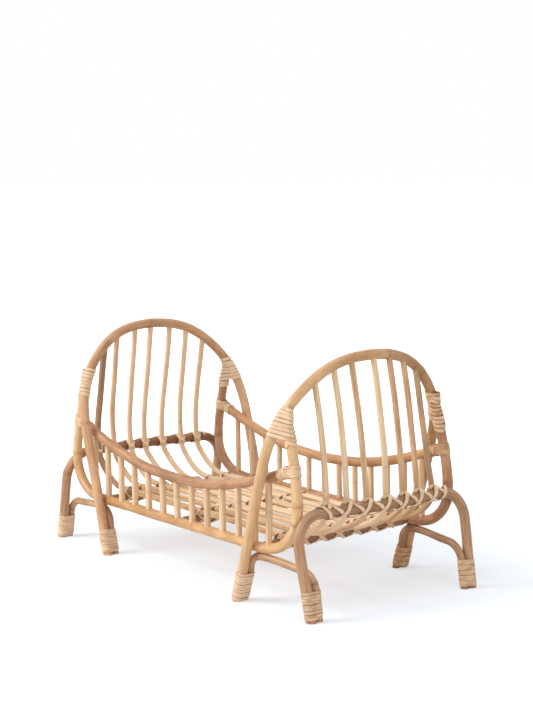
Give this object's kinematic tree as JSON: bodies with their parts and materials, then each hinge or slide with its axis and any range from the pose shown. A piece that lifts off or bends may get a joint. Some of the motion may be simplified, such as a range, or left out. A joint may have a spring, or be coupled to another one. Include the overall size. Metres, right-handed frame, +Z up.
{
  "type": "doll bed",
  "caption": "Doll bed of bent cane: arched head and foot with slats that run on into the base, sagging side rails over spindles, outer leg frames and bound joints.",
  "frame": {"origin": "floor level, under the middle of the bed", "axes": "+X towards the foot end, +Y towards the far side, +Z up"},
  "size_m": [0.555, 0.2826, 0.2997],
  "materials": {
    "arch_cane": "unpeeled rattan, satin, tan brown with node scars",
    "frame_cane": "unpeeled rattan, satin, golden tan",
    "rail_cane": "unpeeled rattan, satin, tan brown",
    "leg_cane": "unpeeled rattan, semi gloss, brown with lengthwise ridges",
    "brace_cane": "unpeeled rattan, satin",
    "bar_cane": "unpeeled rattan, satin, darker brown",
    "peeled_cane": "peeled rattan core, matt, pale straw",
    "binding_reed": "flat rattan reed, matt, pale straw"
  },
  "bodies": {
    "root": {"arch_head": "arch_cane", "arch_foot": "arch_cane", "side_frame_near": "frame_cane", "side_frame_far": "frame_cane", "top_rail_near": "rail_cane", "top_rail_far": "rail_cane", "leg_frame_head": "leg_cane", "leg_frame_foot": "leg_cane", "brace_head_near": "brace_cane", "brace_head_far": "brace_cane", "brace_foot_near": "brace_cane", "brace_foot_far": "brace_cane", "cross_bar_head": "bar_cane", "cross_bar_middle": "bar_cane", "cross_bar_foot": "bar_cane", "head_cane_1": "peeled_cane", "head_cane_2": "peeled_cane", "head_cane_3": "peeled_cane", "head_cane_4": "peeled_cane", "head_cane_5": "peeled_cane", "head_cane_6": "peeled_cane", "head_cane_7": "peeled_cane", "foot_cane_1": "peeled_cane", "foot_cane_2": "peeled_cane", "foot_cane_3": "peeled_cane", "foot_cane_4": "peeled_cane", "foot_cane_5": "peeled_cane", "foot_cane_6": "peeled_cane", "foot_cane_7": "peeled_cane", "spindle_near_01": "peeled_cane", "spindle_near_02": "peeled_cane", "spindle_near_03": "peeled_cane", "spindle_near_04": "peeled_cane", "spindle_near_05": "peeled_cane", "spindle_near_06": "peeled_cane", "spindle_near_07": "peeled_cane", "spindle_near_08": "peeled_cane", "spindle_near_09": "peeled_cane", "spindle_near_10": "peeled_cane", "spindle_near_11": "peeled_cane", "spindle_near_12": "peeled_cane", "spindle_near_13": "peeled_cane", "spindle_far_01": "peeled_cane", "spindle_far_02": "peeled_cane", "spindle_far_03": "peeled_cane", "spindle_far_04": "peeled_cane", "spindle_far_05": "peeled_cane", "spindle_far_06": "peeled_cane", "spindle_far_07": "peeled_cane", "spindle_far_08": "peeled_cane", "spindle_far_09": "peeled_cane", "spindle_far_10": "peeled_cane", "spindle_far_11": "peeled_cane", "spindle_far_12": "peeled_cane", "spindle_far_13": "peeled_cane", "shoulder_binding_head_near": "binding_reed", "shoulder_binding_head_far": "binding_reed", "shoulder_binding_foot_near": "binding_reed", "shoulder_binding_foot_far": "binding_reed"}
  },
  "joints": []
}
